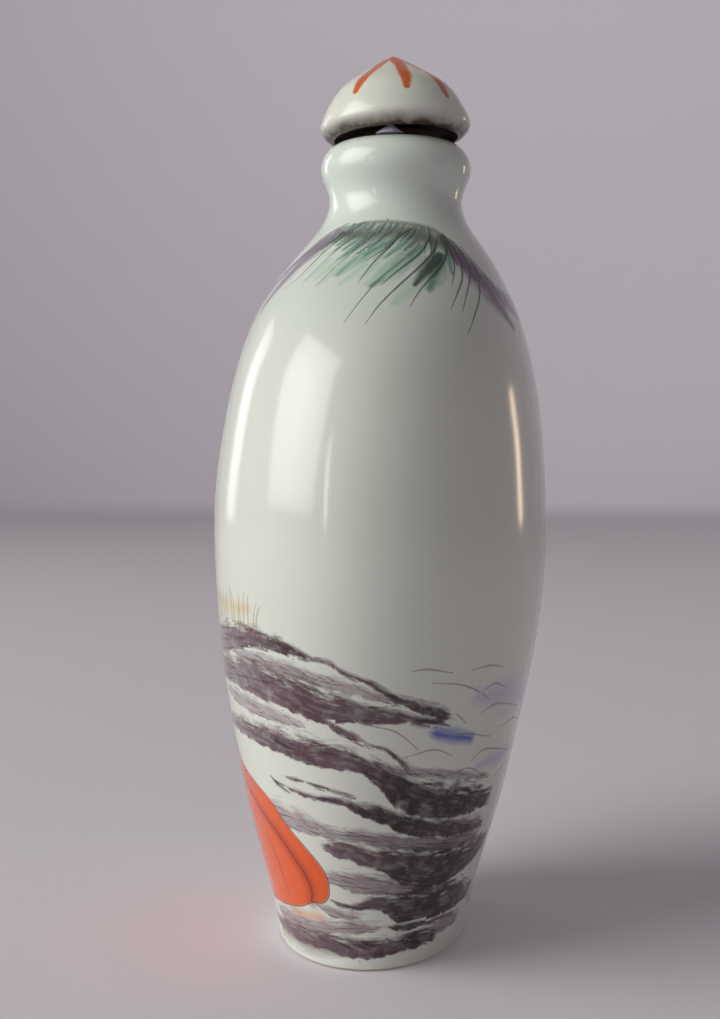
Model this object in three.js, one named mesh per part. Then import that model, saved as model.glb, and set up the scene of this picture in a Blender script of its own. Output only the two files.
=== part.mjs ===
// Snuff bottle: a flattened ovoid porcelain bottle with a round waisted neck, a rolled lip,
// a low domed porcelain stopper and the cork plug under it.
// Millimetres, +Z up. The origin is under the middle of the bottle, in the plane it stands on.
// The broad faces look along -Y and +Y, and the narrow edges along -X and +X.

import * as THREE from 'three';
import { mergeVertices } from 'three/addons/utils/BufferGeometryUtils.js';

// The body's outer surface, from the foot to the waist of the neck. halfDepth is measured along Y.
// drift is how far the hand-made body's axis has strayed along Y at that height.
const bodyStations = [
  { height: 0, halfDepth: 8.1, drift: -0.72 },
  { height: 3, halfDepth: 8.52, drift: -0.8 },
  { height: 7, halfDepth: 9.6, drift: -0.69 },
  { height: 12, halfDepth: 10.95, drift: -0.54 },
  { height: 18, halfDepth: 12.19, drift: -0.4 },
  { height: 25, halfDepth: 13.42, drift: -0.16 },
  { height: 32, halfDepth: 14.06, drift: 0 },
  { height: 38, halfDepth: 14.05, drift: 0 },
  { height: 44, halfDepth: 13.42, drift: 0.2 },
  { height: 49, halfDepth: 12.43, drift: 0.37 },
  { height: 53, halfDepth: 11.12, drift: 0.5 },
  { height: 56, halfDepth: 9.55, drift: 0.72 },
  { height: 58.5, halfDepth: 7.8, drift: 0.98 },
  { height: 60.5, halfDepth: 6.26, drift: 1.08 },
  { height: 62.5, halfDepth: 5.56, drift: 1.12 },
];
const bodyFlattening = 1.5; // half width over half depth, from the foot to the shoulder
const shoulderHeight = 47.5; // where the oval section starts to turn round
const neckHeight = 64; // where the section is round
const bodyRings = 27;
const segments = 56;

// The rolled lip is round about the neck's axis.
const neckDrift = 1.12;
const lipRadius = 6.45;
const lipRollRadius = 2.3;
const lipRollHeight = 65.31;
const lipRollStart = -35; // degrees below the roll's widest line
const lipRings = 8;
const mouthRound = 0.55;

// The hollow.
const wall = 2;
const boreRadius = 3.6;
const floorHeight = 3;
const cavityRings = 20;

// The foot ring and the recess inside it.
const footRound = 0.3;
const footRingWidth = 1.5;
const recessDepth = 1;

// The stopper, in its own frame: z = 0 is its lower edge. It sits askew on the lip.
const stopperHeight = 7.1;
const stopperOutline = [
  { rise: 0, radius: 5.6 },
  { rise: 0.1, radius: 6.45 },
  { rise: 0.24, radius: 6.25 },
  { rise: 0.42, radius: 5.6 },
  { rise: 0.6, radius: 4.65 },
  { rise: 0.78, radius: 2.8 },
  { rise: 0.92, radius: 1.2 },
  { rise: 1, radius: 0 },
];
const stopperRings = 14;
const stopperSegments = 40;
const stopperDishRadius = 5.25;
const stopperDishDepth = 0.8;
const stopperSeat = 67.95; // height of its lower edge's middle
const stopperLeanX = 2.2; // degrees, raises the +X side
const stopperLeanY = 2.4; // degrees, raises the +Y side

// The cork plug hangs under the stopper and leans with it.
const plugTopRadius = 3.35;
const plugEndRadius = 3;
const plugLength = 7;
const plugChamfer = 0.4;
const plugSegments = 24;
const plugGap = 0.3;

// A cubic through the stations, whose slope at each is that between its neighbours.
function smooth(stations, where, key, at) {
  const last = stations.length - 1;
  let i = 0;
  while (i < last - 1 && at > stations[i + 1][where]) i += 1;
  const slope = (k) => {
    const a = stations[Math.max(k - 1, 0)];
    const b = stations[Math.min(k + 1, last)];
    return (b[key] - a[key]) / (b[where] - a[where]);
  };
  const from = stations[i];
  const to = stations[i + 1];
  const span = to[where] - from[where];
  const t = (at - from[where]) / span;
  const rise = t * t * (3 - 2 * t);
  const leave = t * (1 - t) * (1 - t) * span;
  const arrive = t * t * (t - 1) * span;
  return from[key] * (1 - rise) + to[key] * rise + slope(i) * leave + slope(i + 1) * arrive;
}

function flatteningAt(height) {
  const turn = THREE.MathUtils.smoothstep(height, shoulderHeight, neckHeight);
  return THREE.MathUtils.lerp(bodyFlattening, 1, turn);
}

function bodyPoint(height, angle, inset = 0) {
  const depth = smooth(bodyStations, 'height', 'halfDepth', height) - inset;
  const width = depth * flatteningAt(height) + inset * (flatteningAt(height) - 1);
  const drift = smooth(bodyStations, 'height', 'drift', height);
  return new THREE.Vector3(width * Math.cos(angle), drift + depth * Math.sin(angle), height);
}

// The point of the hollow's wall that lies one wall thickness inside the body's surface.
function cavityPoint(height, angle) {
  const step = 0.01;
  const point = bodyPoint(height, angle);
  const up = bodyPoint(height + step, angle).sub(bodyPoint(height - step, angle));
  const round = bodyPoint(height, angle + step).sub(bodyPoint(height, angle - step));
  const outward = round.cross(up).normalize();
  return point.addScaledVector(outward, -wall);
}

function ringOf(count, pointAt) {
  return Array.from({ length: count }, (_, i) => pointAt((i / count) * Math.PI * 2));
}

function roundRing(count, radius, height, drift = 0) {
  return ringOf(count, (angle) => new THREE.Vector3(
    radius * Math.cos(angle),
    drift + radius * Math.sin(angle),
    height,
  ));
}

// A closed skin over rings of equal count, from the point start to the point end.
// The rings run so that each next one lies upward on the outside.
function skin(start, rings, end) {
  const count = rings[0].length;
  const points = [start, ...rings.flat(), end];
  const faces = [];
  const at = (ring, i) => 1 + ring * count + (i % count);
  for (let i = 0; i < count; i += 1) {
    faces.push(0, at(0, i + 1), at(0, i));
    faces.push(points.length - 1, at(rings.length - 1, i), at(rings.length - 1, i + 1));
    for (let ring = 0; ring < rings.length - 1; ring += 1) {
      faces.push(at(ring, i), at(ring, i + 1), at(ring + 1, i + 1));
      faces.push(at(ring, i), at(ring + 1, i + 1), at(ring + 1, i));
    }
  }
  const geometry = new THREE.BufferGeometry().setFromPoints(points);
  geometry.setIndex(faces);
  const merged = mergeVertices(geometry, 1e-4);
  merged.computeVertexNormals();
  return merged;
}

function bottleGeometry() {
  const rings = [];
  const footDrift = bodyStations[0].drift;
  const footInset = footRound + footRingWidth;
  // the recess under the foot, its wall, and the flat that the bottle stands on
  rings.push(ringOf(segments, (angle) => bodyPoint(0, angle, footInset + 0.3).setZ(recessDepth)));
  rings.push(ringOf(segments, (angle) => bodyPoint(0, angle, footInset)));
  rings.push(ringOf(segments, (angle) => bodyPoint(0, angle, footRound)));
  // the body, with its rings closer together where it curves more
  const waist = bodyStations.at(-1).height;
  for (let i = 0; i <= bodyRings; i += 1) {
    const part = i / bodyRings;
    const height = THREE.MathUtils.lerp(footRound, waist, 1 - (1 - part) ** 1.35);
    rings.push(ringOf(segments, (angle) => bodyPoint(height, angle)));
  }
  // the rolled lip, over its top and into the mouth
  for (let i = 0; i <= lipRings; i += 1) {
    const turn = THREE.MathUtils.degToRad(THREE.MathUtils.lerp(lipRollStart, 90, i / lipRings));
    const radius = lipRadius - lipRollRadius + lipRollRadius * Math.cos(turn);
    const height = lipRollHeight + lipRollRadius * Math.sin(turn);
    rings.push(roundRing(segments, radius, height, neckDrift));
  }
  const lipTop = lipRollHeight + lipRollRadius;
  for (const turn of [90, 45, 0]) {
    const radius = boreRadius + mouthRound * (1 - Math.cos(THREE.MathUtils.degToRad(turn)));
    const height = lipTop - mouthRound * (1 - Math.sin(THREE.MathUtils.degToRad(turn)));
    rings.push(roundRing(segments, radius, height, neckDrift));
  }
  // down the bore and the hollow to its floor
  for (let i = 0; i <= cavityRings; i += 1) {
    const part = i / cavityRings;
    const height = THREE.MathUtils.lerp(waist - 0.2, floorHeight + wall, 1 - (1 - part) ** 0.8);
    rings.push(ringOf(segments, (angle) => cavityPoint(height, angle)));
  }
  const floorRound = 1;
  rings.push(ringOf(segments, (angle) => bodyPoint(floorHeight, angle, wall + floorRound)));
  const recessTop = new THREE.Vector3(0, footDrift, recessDepth);
  const floor = new THREE.Vector3(0, footDrift, floorHeight);
  return skin(recessTop, rings, floor);
}

function stopperGeometry() {
  const rings = [];
  rings.push(roundRing(stopperSegments, stopperDishRadius - 0.5, stopperDishDepth));
  rings.push(roundRing(stopperSegments, stopperDishRadius, 0));
  for (let i = 0; i < stopperRings; i += 1) {
    const rise = i / stopperRings;
    const radius = smooth(stopperOutline, 'rise', 'radius', rise);
    rings.push(roundRing(stopperSegments, radius, rise * stopperHeight));
  }
  const dish = new THREE.Vector3(0, 0, stopperDishDepth);
  const tip = new THREE.Vector3(0, 0, stopperHeight);
  return skin(dish, rings, tip);
}

function plugGeometry() {
  const top = stopperDishDepth - plugGap;
  const end = top - plugLength;
  const rings = [
    roundRing(plugSegments, plugEndRadius - plugChamfer, end),
    roundRing(plugSegments, plugEndRadius, end + plugChamfer),
    roundRing(plugSegments, plugTopRadius, top - plugChamfer),
    roundRing(plugSegments, plugTopRadius - plugChamfer, top),
  ];
  return skin(new THREE.Vector3(0, 0, end), rings, new THREE.Vector3(0, 0, top));
}

const glazedPorcelain = new THREE.MeshStandardMaterial({
  color: '#dfe2dc',
  roughness: 0.12,
  metalness: 0,
});
const stopperPorcelain = glazedPorcelain.clone();
stopperPorcelain.color.set('#e2e0d2');
const cork = new THREE.MeshStandardMaterial({ color: '#a5805a', roughness: 0.9, metalness: 0 });

function piece(name, geometry, material) {
  const mesh = new THREE.Mesh(geometry, material);
  mesh.name = name;
  return mesh;
}

const bottle = piece('bottle', bottleGeometry(), glazedPorcelain);

const closure = new THREE.Group();
closure.position.set(0, neckDrift, stopperSeat);
closure.rotation.set(
  THREE.MathUtils.degToRad(stopperLeanY),
  THREE.MathUtils.degToRad(-stopperLeanX),
  0,
);
closure.add(piece('stopper', stopperGeometry(), stopperPorcelain));
closure.add(piece('plug', plugGeometry(), cork));

const snuffBottle = new THREE.Group();
snuffBottle.add(bottle, closure);

export default snuffBottle;
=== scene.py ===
import math
import random

import bpy
import numpy as np
from mathutils import Euler, Matrix, Vector


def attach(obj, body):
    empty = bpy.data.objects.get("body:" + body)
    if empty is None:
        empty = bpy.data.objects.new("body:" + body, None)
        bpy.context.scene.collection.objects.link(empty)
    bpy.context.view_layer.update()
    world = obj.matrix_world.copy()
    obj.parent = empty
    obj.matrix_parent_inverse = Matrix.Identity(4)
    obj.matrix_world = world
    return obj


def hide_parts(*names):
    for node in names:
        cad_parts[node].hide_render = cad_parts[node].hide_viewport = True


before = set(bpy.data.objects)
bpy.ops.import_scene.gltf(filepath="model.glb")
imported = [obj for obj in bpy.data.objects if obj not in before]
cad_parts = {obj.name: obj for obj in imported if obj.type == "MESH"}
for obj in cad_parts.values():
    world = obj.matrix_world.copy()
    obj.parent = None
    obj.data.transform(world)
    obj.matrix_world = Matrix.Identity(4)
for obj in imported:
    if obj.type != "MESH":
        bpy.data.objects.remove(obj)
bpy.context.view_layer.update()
print("frame loaded")

mm = 0.001  # in m


# A number from rows of a table, on a smooth cubic through them.
def along(rows, column, at):
    last = len(rows) - 1
    i = 0
    while i < last - 1 and at > rows[i + 1][0]:
        i += 1

    def slope(k):
        a, b = rows[max(k - 1, 0)], rows[min(k + 1, last)]
        return (b[column] - a[column]) / (b[0] - a[0])

    start, end = rows[i], rows[i + 1]
    span = end[0] - start[0]
    t = (at - start[0]) / span
    rise = t * t * (3 - 2 * t)
    bend = slope(i) * t * (1 - t) ** 2 + slope(i + 1) * t * t * (t - 1)
    return start[column] * (1 - rise) + end[column] * rise + bend * span


def smoothStep(value, low, high):
    t = min(max((value - low) / (high - low), 0), 1)
    return t * t * (3 - 2 * t)


# The porcelain bottle, in mm. Each body row is a height, a half depth along Y and the axis's drift along Y.
bottle = {
    "body": [
        (0, 8.1, -0.72), (3, 8.52, -0.8), (7, 9.6, -0.69), (12, 10.95, -0.54), (18, 12.19, -0.4),
        (25, 13.42, -0.16), (32, 14.06, 0), (38, 14.05, 0), (44, 13.42, 0.2), (49, 12.43, 0.37),
        (53, 11.12, 0.5), (56, 9.55, 0.72), (58.5, 7.8, 0.98), (60.5, 6.26, 1.08), (62.5, 5.56, 1.12),
    ],
    "flattening": 1.5,  # half width over half depth
    "ovalTo": 47.5,  # above this height the oval turns round
    "roundFrom": 64,
    "segments": 64, "bodyRings": 44,
    "bodyGather": 1.35,  # above 1, the rings stand closer towards the neck
    # Insets and heights of the foot: from the recess under the bottle, round its ring and up the side.
    "foot": [(2.35, 1), (2.05, 0.97), (1.9, 0.6), (1.8, 0.05), (1.72, 0), (0.3, 0), (0.06, 0.08)],
    "footRound": 0.3,
    "neckDrift": 1.12,
    "waistRound": 1.3,  # the last rings below the neck are left out over this height
    "waistInset": 0.1,  # smoothing opens the waist again by as much
    "lipRadius": 6.45, "rollRadius": 2.3, "rollHeight": 65.31,
    "rollStart": -35,  # degrees
    "rollSteps": 7,
    "mouthRound": 0.55,
    "mouthTurns": (75, 35, 0),  # degrees
    "bore": 3.6, "wall": 2, "floorHeight": 3,
    "floorRise": 0.1,  # in its middle
    "hollowTop": 0.2,  # below the body's top
    "hollowSteps": 10, "hollowGather": 0.9, "smoothing": 2,
}


def bodySection(height):
    depth = along(bottle["body"], 1, height)
    turned = smoothStep(height, bottle["ovalTo"], bottle["roundFrom"])
    oval = bottle["flattening"] * (1 - turned) + turned
    return depth * oval, depth, along(bottle["body"], 2, height)


# turn is in degrees about the axis, 0 at the +X edge and 90 on the +Y face.
def bodyPoint(turn, height):
    width, depth, drift = bodySection(height)
    angle = math.radians(turn)
    return (width * math.cos(angle), drift + depth * math.sin(angle), height)


# The bottle's rings, from under the foot over the lip and down the hollow: half width, half depth, middle
# along Y and height.
def bottleRings():
    b = bottle
    width, depth, drift = bodySection(0)
    rings = [(width - inset, depth - inset, drift, height) for inset, height in b["foot"]]
    top = b["body"][-1][0]
    for i in range(b["bodyRings"]):
        rise = 1 - (1 - i / b["bodyRings"]) ** b["bodyGather"]
        height = b["footRound"] + (top - b["footRound"]) * rise
        if height < top - b["waistRound"]:
            rings.append((*bodySection(height), height))
    width, depth, drift = bodySection(top)
    rings.append((width - b["waistInset"], depth - b["waistInset"], drift, top))
    for i in range(b["rollSteps"] + 1):
        turn = math.radians(b["rollStart"] + (90 - b["rollStart"]) * i / b["rollSteps"])
        radius = b["lipRadius"] - b["rollRadius"] * (1 - math.cos(turn))
        rings.append((radius, radius, b["neckDrift"], b["rollHeight"] + b["rollRadius"] * math.sin(turn)))
    lipTop = b["rollHeight"] + b["rollRadius"]
    for turn in map(math.radians, b["mouthTurns"]):
        radius = b["bore"] + b["mouthRound"] * (1 - math.cos(turn))
        rings.append((radius, radius, b["neckDrift"], lipTop - b["mouthRound"] * (1 - math.sin(turn))))
    hollowTop = top - b["hollowTop"]
    fall = hollowTop - b["floorHeight"] - b["wall"]
    below = 0.5  # mm, over which the wall's slope is taken
    for i in range(b["hollowSteps"] + 1):
        height = hollowTop - fall * (i / b["hollowSteps"]) ** b["hollowGather"]
        *halves, drift = bodySection(height)
        lower = bodySection(height - below)
        inner = []
        for half, low in zip(halves, lower):  # the wall is measured square to it
            inner.append(max(half - b["wall"] * math.hypot(1, (low - half) / below), b["bore"]))
        rings.append((*inner, drift, height))
    width, depth, drift = bodySection(b["floorHeight"])
    inset = b["wall"] + 1
    rings.append((width - inset, depth - inset, drift, b["floorHeight"] + b["floorRise"]))
    return rings


def selectNone():
    bpy.ops.object.select_all(action="DESELECT")


def selectOnly(piece):
    selectNone()
    piece.select_set(True)
    bpy.context.view_layer.objects.active = piece


def finishPiece(name):
    piece = bpy.context.object
    piece.name = piece.data.name = name
    bpy.ops.object.transform_apply(location=True, rotation=True, scale=True)
    bpy.ops.object.shade_smooth()
    return piece


def applyModifier(piece, kind, **settings):
    added = piece.modifiers.new(kind.title(), kind)
    for key, value in settings.items():
        setattr(added, key, value)
    selectOnly(piece)
    bpy.ops.object.modifier_apply(modifier=added.name)


# Raises a piece ring by ring from a circle, as on a wheel, and closes both ends on the axis.
def raiseRings(name, rings, segments, smoothing):
    selectNone()
    width, depth, middle, height = rings[0]
    bpy.ops.mesh.primitive_circle_add(vertices=segments, radius=1, location=(0, middle * mm, height * mm))
    bpy.ops.object.mode_set(mode="EDIT")
    bpy.ops.mesh.select_mode(type="EDGE")
    bpy.ops.mesh.select_all(action="SELECT")
    bpy.ops.transform.resize(value=(width * mm, depth * mm, 1))
    for last, ring in zip(rings, rings[1:]):
        move = (0, (ring[2] - last[2]) * mm, (ring[3] - last[3]) * mm)
        bpy.ops.mesh.extrude_edges_move(TRANSFORM_OT_translate={"value": move})
        bpy.ops.transform.resize(
            value=(ring[0] / last[0], ring[1] / last[1], 1),
            center_override=(0, ring[2] * mm, ring[3] * mm),
        )
    bpy.ops.mesh.extrude_edges_move()
    bpy.ops.mesh.merge(type="CENTER")
    bpy.ops.mesh.select_all(action="DESELECT")
    bpy.ops.mesh.select_non_manifold()
    bpy.ops.mesh.extrude_edges_move()
    bpy.ops.mesh.merge(type="CENTER")
    bpy.ops.mesh.select_all(action="SELECT")
    bpy.ops.mesh.normals_make_consistent(inside=False)
    bpy.ops.object.mode_set(mode="OBJECT")
    piece = finishPiece(name)
    applyModifier(piece, "SUBSURF", levels=smoothing, render_levels=smoothing)
    return piece


bottlePiece = raiseRings("glazedBottle", bottleRings(), bottle["segments"], bottle["smoothing"])
print("bottle raised:", len(bottlePiece.data.polygons), "faces")

# The stopper and its plug, in mm, about the middle of the stopper's lower edge.
stopper = {
    "height": 7.1,
    "outline": [
        (0, 5.6), (0.1, 6.45), (0.24, 6.25), (0.42, 5.6), (0.6, 4.65), (0.78, 2.8), (0.92, 1.2), (1, 0),
    ],
    "steps": 14,
    "dishRadius": 5.25, "dishDepth": 0.8,
    # The dish's rings, from its middle: how far past its radius, and the height.
    "dish": [(-0.6, 0.8), (-0.35, 0.7), (-0.12, 0.25), (0, 0), (0.1, -0.02)],
    "rim": [(-0.08, -0.01), (0.15, 0.1)],  # past the outline's first radius, and the height
    "tip": [(0.35, 0.985), (0.12, 1)],  # the radius, and the share of the height
    "seat": 67.95,
    "leanX": 2.2,  # degrees, raises the +X side
    "leanY": 2.4,  # degrees, raises the +Y side
    "segments": 48, "smoothing": 2,
}
plug = {
    "topRadius": 3.35, "endRadius": 3, "length": 7, "chamfer": 0.4, "gap": 0.3, "steps": 8, "segments": 32,
}

stopperTurn = Euler((math.radians(stopper["leanY"]), math.radians(-stopper["leanX"]), 0), "XYZ").to_matrix()
stopperPlace = Vector((0, bottle["neckDrift"], stopper["seat"])) * mm


def lean(piece):
    piece.matrix_world = Matrix.Translation(stopperPlace) @ stopperTurn.to_4x4()
    selectOnly(piece)
    bpy.ops.object.transform_apply(location=True, rotation=True, scale=True)


def stopperRings():
    s = stopper
    rings = [(s["dishRadius"] + past, height) for past, height in s["dish"]]
    rings += [(s["outline"][0][1] + past, height) for past, height in s["rim"]]
    for i in range(1, s["steps"]):
        rise = i / s["steps"]
        rings.append((along(s["outline"], 1, rise), rise * s["height"]))
    rings += [(radius, rise * s["height"]) for radius, rise in s["tip"]]
    return [(radius, radius, 0, height) for radius, height in rings]


def plugRings():
    top = stopper["dishDepth"] - plug["gap"]
    end = top - plug["length"]
    c = plug["chamfer"]
    rings = [(plug["endRadius"] - c, end), (plug["endRadius"], end + c)]
    for i in range(1, plug["steps"]):
        part = i / plug["steps"]
        radius = plug["endRadius"] + (plug["topRadius"] - plug["endRadius"]) * part
        rings.append((radius, end + c + (plug["length"] - 2 * c) * part))
    rings += [(plug["topRadius"], top - c), (plug["topRadius"] - c, top)]
    return [(radius, radius, 0, height) for radius, height in rings]


stopperPiece = raiseRings("stopperDome", stopperRings(), stopper["segments"], stopper["smoothing"])
plugPiece = raiseRings("corkPlug", plugRings(), plug["segments"], 1)


# A wisp of the paper packing round the cork shows at the front of the gap, on the lip, drawn up to a point.
wisp = {
    "place": (4.6, 1.05, 67.63),  # mm, as the other sizes
    "size": (0.6, 1.15, 0.72),
    "tip": 0.12,  # of its width
    "sides": 20,
    "cuts": 3, "crumple": 0.16, "creaseSize": 0.6,
}


def makeWisp():
    selectNone()
    bpy.ops.mesh.primitive_cone_add(
        vertices=wisp["sides"], radius1=1, radius2=wisp["tip"], depth=1, location=(0, 0, 0.5))
    bpy.ops.transform.resize(value=[size * mm for size in wisp["size"]], center_override=(0, 0, 0))
    bpy.ops.transform.translate(value=[place * mm for place in wisp["place"]])
    bpy.ops.object.mode_set(mode="EDIT")
    bpy.ops.mesh.select_all(action="SELECT")
    bpy.ops.mesh.quads_convert_to_tris()
    bpy.ops.mesh.subdivide(number_cuts=wisp["cuts"])
    bpy.ops.object.mode_set(mode="OBJECT")
    piece = finishPiece("packingWisp")
    creases = bpy.data.textures.new("creases", "CLOUDS")
    creases.noise_scale = wisp["creaseSize"] * mm
    applyModifier(piece, "DISPLACE", texture=creases, texture_coords="LOCAL",
                  strength=wisp["crumple"] * mm, mid_level=0.5)
    return piece


wispPiece = makeWisp()
print("stopper and plug raised")

# The enamel painting. A brush stroke is a line of points on the glaze with half widths in mm and colours. In
# each layer, each face keeps the stroke nearest to it: how far its corners lie to the stroke's side, along it
# and from its ends. The material draws the bristle marks from these.
inks = {
    "umber": "#5a424b", "black": "#2a1a20", "wetGrey": "#8d7b82", "paleGrey": "#bdb4b4",
    # pinePlum here, and mauve and plumWash below, colour the pines near the sides as painted reflection of
    # purple surroundings.
    "pine": "#3c4f46", "pineGrey": "#7b8480", "pinePlum": "#6a5066", "grass": "#a8905c", "straw": "#dccfae",
    "water": "#857b8b", "petal": "#d4601f", "robe": "#e8622b", "robeShade": "#b83a18",
    "robeEdge": "#55271f", "skin": "#ddb392",
    "cobalt": "#2546b4", "jade": "#5c917b", "mint": "#b9d6bf", "mauve": "#8f8292", "plumWash": "#6d4a68",
    # lilac stands for a painted reflection on the water near the right side.
    "crown": "#747a6d", "greenBlack": "#2f3d37", "peach": "#dfae8c", "olive": "#8c867c", "lilac": "#c6c3d8",
}
washInks = ("paleGrey", "wetGrey", "umber", "black")  # from a pale wash to the darkest
washSteps = (0, 0.4, 0.8, 1)
pointStep = 0.35  # mm between a stroke's points
bandStep = 0.4  # mm between a band's points
thinnestBand = 0.06  # mm, its least half height


# A colour given in hex as the four linear numbers that Blender mixes.
def linear(hexColour):
    parts = [int(hexColour[i:i + 2], 16) / 255 for i in (1, 3, 5)]
    return (*(p / 12.92 if p <= 0.04045 else ((p + 0.055) / 1.055) ** 2.4 for p in parts), 1)


# A table's numbers at a place along it, counted in rows.
def between(table, at):
    rows = [(i, *row) for i, row in enumerate(table)]
    return [along(rows, k, at) for k in range(1, len(rows[0]))]


# Places along a table that starts with a turn and a height, about a step apart, and its numbers there.
def smoothed(table, step, pointAt=bodyPoint):
    rough = np.array([pointAt(*row[:2]) for row in table])
    length = np.linalg.norm(np.diff(rough, axis=0), axis=1).sum()
    places = np.linspace(0, len(table) - 1, max(3, int(length / step) + 1))
    return places, np.array([between(table, at) for at in places])


# A smooth line through (turn, height) points on the body, with half widths shared out along it.
def strokeOn(points, widths, ink, pointAt=bodyPoint):
    places, line = smoothed(points, pointStep, pointAt)
    return {
        "line": np.array([pointAt(*p) for p in line]),
        "half": np.interp(places, np.linspace(0, len(points) - 1, len(widths)), widths),
        "ink": np.tile(linear(inks[ink])[:3], (len(places), 1)),
    }


# A wide wet stroke: each row is its turn, height, half height in mm and how dark it is, from 0 to 1.
def bandOn(rows):
    _, table = smoothed(rows, bandStep)
    shades = np.array([linear(inks[name]) for name in washInks])
    return {
        "line": np.array([bodyPoint(*row[:2]) for row in table]),
        "half": np.maximum(table[:, 2], thinnestBand),
        "ink": np.column_stack([np.interp(table[:, 3], washSteps, shades[:, k]) for k in range(3)]),
    }


# A patch with an outline of (turn, height) points. Its colour stops at the outline.
def fillOn(points, ink):
    closed = points + points[:1]
    return {**strokeOn(closed, [1, 1], ink), "outline": smoothed(closed, pointStep)[1]}


# The body's section at many heights, to find a point's turn about the axis.
sections = np.array([(h, *bodySection(h)) for h in np.arange(0, 66, 0.25)])


def turnAndHeight(points):
    width, depth, drift = (np.interp(points[:, 2], sections[:, 0], sections[:, k]) for k in (1, 2, 3))
    return np.degrees(np.arctan2((points[:, 1] - drift) / depth, points[:, 0] / width)), points[:, 2]


# Whether points lie inside an outline: a line to their right crosses it an odd number of times.
def isInside(outline, points):
    turn, height = turnAndHeight(points)
    found = np.zeros(len(points), bool)
    for (x0, y0), (x1, y1) in zip(outline, outline[1:]):
        if y0 != y1:
            crossed = (y0 > height) != (y1 > height)
            found ^= crossed & (turn < x0 + (height - y0) * (x1 - x0) / (y1 - y0))
    return found


pastEnds = 9  # mm that a stroke's line is followed past its ends
thinnestStroke = 0.03  # mm, its least half width


# For points beside a stroke: the distance to its side, along it and from its ends, its half width and its
# colour. In a patch, the side is 1 at its outline and less inside.
def strokePlace(stroke, points, normals):
    line, half = stroke["line"], stroke["half"]
    a, b = line[:-1], line[1:]
    run = b - a
    length = np.maximum(np.linalg.norm(run, axis=1), 1e-6)
    ahead = run / length[:, None]
    before = np.concatenate([[0], np.cumsum(length)[:-1]])
    away = points[:, None] - a[None]
    low, high = np.zeros(len(a)), length.copy()
    if "outline" not in stroke:
        low[0] -= pastEnds
        high[-1] += pastEnds
    reach = np.clip((away * ahead).sum(2), low, high)
    off = away - reach[..., None] * ahead
    pick = np.linalg.norm(off, axis=2).argmin(1)
    row = np.arange(len(points))
    off, reach = off[row, pick], reach[row, pick]
    side = (np.cross(normals, ahead[pick]) * off).sum(1)
    gone = before[pick] + reach
    ends = np.minimum(gone, length.sum() - gone)
    part = np.clip(reach / length[pick], 0, 1)
    wide = half[pick] * (1 - part) + half[pick + 1] * part
    ink = stroke["ink"][pick] * (1 - part[:, None]) + stroke["ink"][pick + 1] * part[:, None]
    if "outline" in stroke:
        distance = np.linalg.norm(off, axis=1)
        distance[isInside(stroke["outline"], points)] *= -1
        side, ends = np.maximum(1 + distance, 0), np.full(len(points), float(pastEnds))
    return side, gone, ends, np.maximum(wide, thinnestStroke), ink


sharing = {
    "beyond": 0.6,  # mm, a face this far past a stroke's edge still belongs to it
    "unpainted": (99, 0, 0),  # the place of a face with no stroke
    "noInk": (0, 0, 0, 0.05),
    "noiseShift": 17.3,  # mm along the bristle noise from one stroke to the next
}


# Shares a layer's strokes out to the faces and keeps them as two attributes of the corners.
def paintLayer(piece, layer, strokes, facing):
    mesh = piece.data

    def read(items, what, size, kind=float):
        values = np.empty(len(items) * size, kind)
        items.foreach_get(what, values)
        return values.reshape(-1, size) if size > 1 else values

    co = read(mesh.vertices, "co", 3) / mm
    corner = read(mesh.loops, "vertex_index", 1, int)
    start = read(mesh.polygons, "loop_start", 1, int)
    total = read(mesh.polygons, "loop_total", 1, int)
    normal = read(mesh.polygons, "normal", 3)
    centre = np.add.reduceat(co[corner], start) / total[:, None]
    outside = facing(centre, normal)
    place = np.tile(np.array(sharing["unpainted"], float), (len(corner), 1))
    paint = np.tile(sharing["noInk"], (len(corner), 1))
    best = np.full(len(start), sharing["beyond"])
    for number, stroke in enumerate(strokes):
        reach = stroke["half"].max() + sharing["beyond"] + 0.1
        line = stroke["line"]
        near = outside & (centre > line.min(0) - reach).all(1) & (centre < line.max(0) + reach).all(1)
        faces = np.nonzero(near)[0]
        if not len(faces):
            continue
        side, gone, ends, wide, ink = strokePlace(stroke, centre[faces], normal[faces])
        far = np.hypot(side, np.minimum(ends, 0)) - wide
        better = far < best[faces]
        faces = faces[better]
        best[faces] = far[better]
        for k in range(4):
            has = total[faces] > k
            chosen = start[faces[has]] + k
            side, gone, ends, wide, ink = strokePlace(stroke, co[corner[chosen]], normal[faces[has]])
            place[chosen] = np.column_stack([side, gone + sharing["noiseShift"] * number, ends])
            paint[chosen] = np.column_stack([ink, wide])
    mesh.attributes.new(layer + "Place", "FLOAT_VECTOR", "CORNER").data.foreach_set("vector", place.ravel())
    mesh.attributes.new(layer + "Ink", "FLOAT_COLOR", "CORNER").data.foreach_set("color", paint.ravel())


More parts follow.
